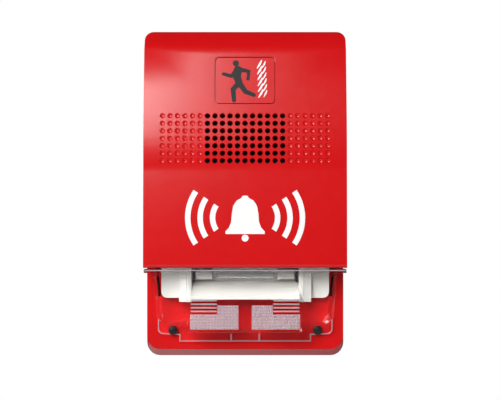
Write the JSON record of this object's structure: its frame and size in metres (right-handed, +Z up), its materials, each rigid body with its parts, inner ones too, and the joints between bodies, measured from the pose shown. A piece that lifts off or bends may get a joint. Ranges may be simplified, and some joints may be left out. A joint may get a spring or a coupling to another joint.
{
  "type": "horn strobe",
  "caption": "Wall horn strobe: red hinged cover with sounder grille and symbol recess, clear prismatic strobe lens, white reflector, red rear housing on a steel mounting plate.",
  "frame": {"origin": "centre of the mounting plate's back face, on the wall plane", "axes": "+Z up along the height, +Y into the wall, the front faces -Y, +X to the right"},
  "size_m": [0.079, 0.0278, 0.129],
  "materials": {
    "red_plastic": "fine moulded texture, satin",
    "white_plastic": "smooth, semi-gloss",
    "clear_plastic": "clear moulded polycarbonate, glossy",
    "tube_glass": "clear glass",
    "black_plastic": "satin",
    "cream_plastic": "satin",
    "dark_foam": "open weave",
    "zinc_steel": "zinc plated",
    "black_steel": "black oxide",
    "brass": "bright",
    "copper": "enamelled copper winding",
    "green_board": "solder mask",
    "red_sleeve": "satin insulation",
    "black_sleeve": "satin insulation"
  },
  "bodies": {
    "housing": {"rear_housing": "red_plastic", "mounting_plate": "zinc_steel", "lens": "clear_plastic", "lens_screw_left": "black_steel", "lens_screw_right": "black_steel", "reflector": "white_plastic", "flash_tube": "tube_glass", "tube_cap_left": "zinc_steel", "tube_cap_right": "zinc_steel", "tube_holder_left": "black_steel", "tube_holder_right": "black_steel", "trigger_coil": "cream_plastic", "trigger_wire": "red_sleeve", "storage_capacitor": "black_plastic", "inductor": "copper", "circuit_board": "green_board", "controller_chip": "black_plastic", "captive_screw": "zinc_steel", "terminal_block": "black_plastic", "candela_switch": "black_plastic", "volume_switch": "black_plastic", "tone_switch": "black_plastic", "sounder_housing": "black_plastic", "sounder_diaphragm": "brass", "piezo_disc": "cream_plastic", "sounder_ring": "black_plastic", "sounder_gasket": "dark_foam", "sounder_lead_red": "red_sleeve", "sounder_lead_black": "black_sleeve", "board_screw_1": "zinc_steel", "terminal_screw_1": "zinc_steel", "clamp_plate_1": "brass", "board_screw_2": "zinc_steel", "terminal_screw_2": "zinc_steel", "clamp_plate_2": "brass", "board_screw_3": "zinc_steel", "terminal_screw_3": "zinc_steel", "clamp_plate_3": "brass", "board_screw_4": "zinc_steel", "terminal_screw_4": "zinc_steel", "clamp_plate_4": "brass"},
    "cover": {"front_cover": "red_plastic", "symbol_insert": "red_plastic", "acoustic_screen": "dark_foam"},
    "candela_slider": {"candela_slider": "white_plastic"},
    "volume_slider": {"volume_slider": "white_plastic"},
    "tone_slider": {"tone_slider": "white_plastic"}
  },
  "joints": [
    {"name": "cover_hinge", "type": "hinge", "parent": "housing", "child": "cover", "pos_m": [0, -0.0113, 0.0645], "axis": [-1, 0, 0], "range_deg": [0, 45]},
    {"name": "candela_slide", "type": "slide", "parent": "housing", "child": "candela_slider", "axis": [1, 0, 0], "range_m": [0, 0.006]},
    {"name": "volume_slide", "type": "slide", "parent": "housing", "child": "volume_slider", "axis": [1, 0, 0], "range_m": [0, 0.002]},
    {"name": "tone_slide", "type": "slide", "parent": "housing", "child": "tone_slider", "axis": [1, 0, 0], "range_m": [0, 0.002]}
  ]
}
